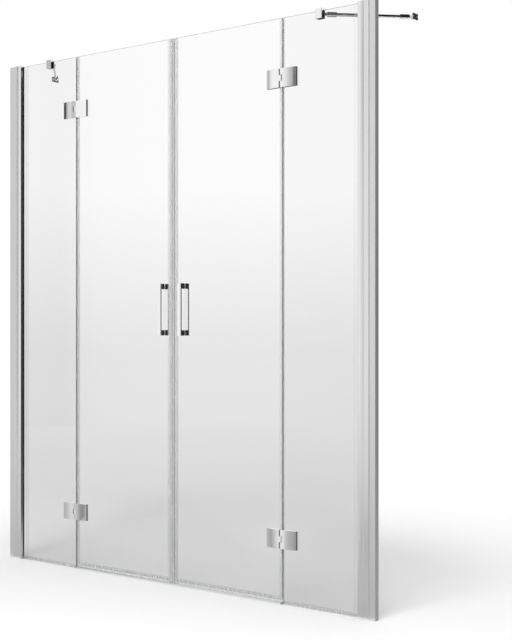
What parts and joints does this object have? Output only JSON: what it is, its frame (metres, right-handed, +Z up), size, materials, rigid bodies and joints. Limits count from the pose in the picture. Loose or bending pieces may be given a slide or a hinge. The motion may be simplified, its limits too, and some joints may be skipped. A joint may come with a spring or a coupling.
{
  "type": "shower door",
  "caption": "Frameless glass shower front for a niche: hinged doors between fixed panels in wall profiles, with pull handles, magnetic seals and top braces.",
  "frame": {"origin": "middle of the threshold's underside, in the plane of the glass", "axes": "+X to the right seen from the room, +Y into the shower, +Z up"},
  "size_m": [1.77, 0.2775, 2.007],
  "materials": {
    "wall_channel": "bright anodised",
    "glazing_profile": "polished",
    "profile_cap": "polished",
    "clear_gasket": "clear, flexible",
    "screw": "stainless",
    "glass": "clear toughened, ground edges",
    "clear_seal": "clear, semi-rigid",
    "magnet": "magnet-filled strip",
    "threshold": "polished",
    "threshold_end_cap": "moulded",
    "hinge_gasket": "grey, firm",
    "hinge": "polished",
    "pin": "stainless",
    "bush": "white nylon",
    "brace": "polished",
    "handle": "polished"
  },
  "bodies": {
    "frame": {"wall_channel_left": "wall_channel", "wall_channel_right": "wall_channel", "glazing_profile_left": "glazing_profile", "glazing_profile_right": "glazing_profile", "profile_caps": "profile_cap", "glazing_gaskets": "clear_gasket", "adjuster_screws": "screw", "fixed_glass_left": "glass", "fixed_glass_right": "glass", "fixed_foot_seals": "clear_seal", "threshold_bar": "threshold", "threshold_end_caps": "threshold_end_cap", "fixed_leaf_upper_left": "hinge", "fixed_leaf_lower_left": "hinge", "fixed_leaf_upper_right": "hinge", "fixed_leaf_lower_right": "hinge", "fixed_back_plates": "hinge", "hinge_pins": "pin", "fixed_leaf_gaskets": "hinge_gasket", "fixed_leaf_screws": "screw", "brace_clamp_left": "brace", "brace_clamp_right": "brace", "clamp_pads": "clear_gasket", "brace_grub_screws": "screw", "brace_sockets": "brace", "brace_tube_left": "brace", "brace_tube_right": "brace", "brace_pivots": "pin", "brace_wall_plate_left": "brace", "brace_wall_plate_right": "brace"},
    "door_left": {"door_glass_left": "glass", "hinge_seal_left": "clear_seal", "door_sweep_left": "clear_seal", "magnet_seal_left": "clear_seal", "magnet_strip_left": "magnet", "door_leaf_upper_left": "hinge", "door_leaf_lower_left": "hinge", "door_back_plates_left": "hinge", "hinge_bushes_left": "bush", "door_leaf_gaskets_left": "hinge_gasket", "door_leaf_screws_left": "screw", "handle_outer_left": "handle", "handle_inner_left": "handle", "handle_washers_left": "bush", "handle_studs_left": "screw"},
    "door_right": {"door_glass_right": "glass", "hinge_seal_right": "clear_seal", "door_sweep_right": "clear_seal", "magnet_seal_right": "clear_seal", "magnet_strip_right": "magnet", "door_leaf_upper_right": "hinge", "door_leaf_lower_right": "hinge", "door_back_plates_right": "hinge", "hinge_bushes_right": "bush", "door_leaf_gaskets_right": "hinge_gasket", "door_leaf_screws_right": "screw", "handle_outer_right": "handle", "handle_inner_right": "handle", "handle_washers_right": "bush", "handle_studs_right": "screw"}
  },
  "joints": [
    {"name": "door_left_hinge", "type": "hinge", "parent": "frame", "child": "door_left", "pos_m": [-0.505, -0.0115, 1], "axis": [0, 0, -1], "range_deg": [0, 90]},
    {"name": "door_right_hinge", "type": "hinge", "parent": "frame", "child": "door_right", "pos_m": [0.505, -0.0115, 1], "axis": [0, 0, 1], "range_deg": [0, 90]}
  ]
}
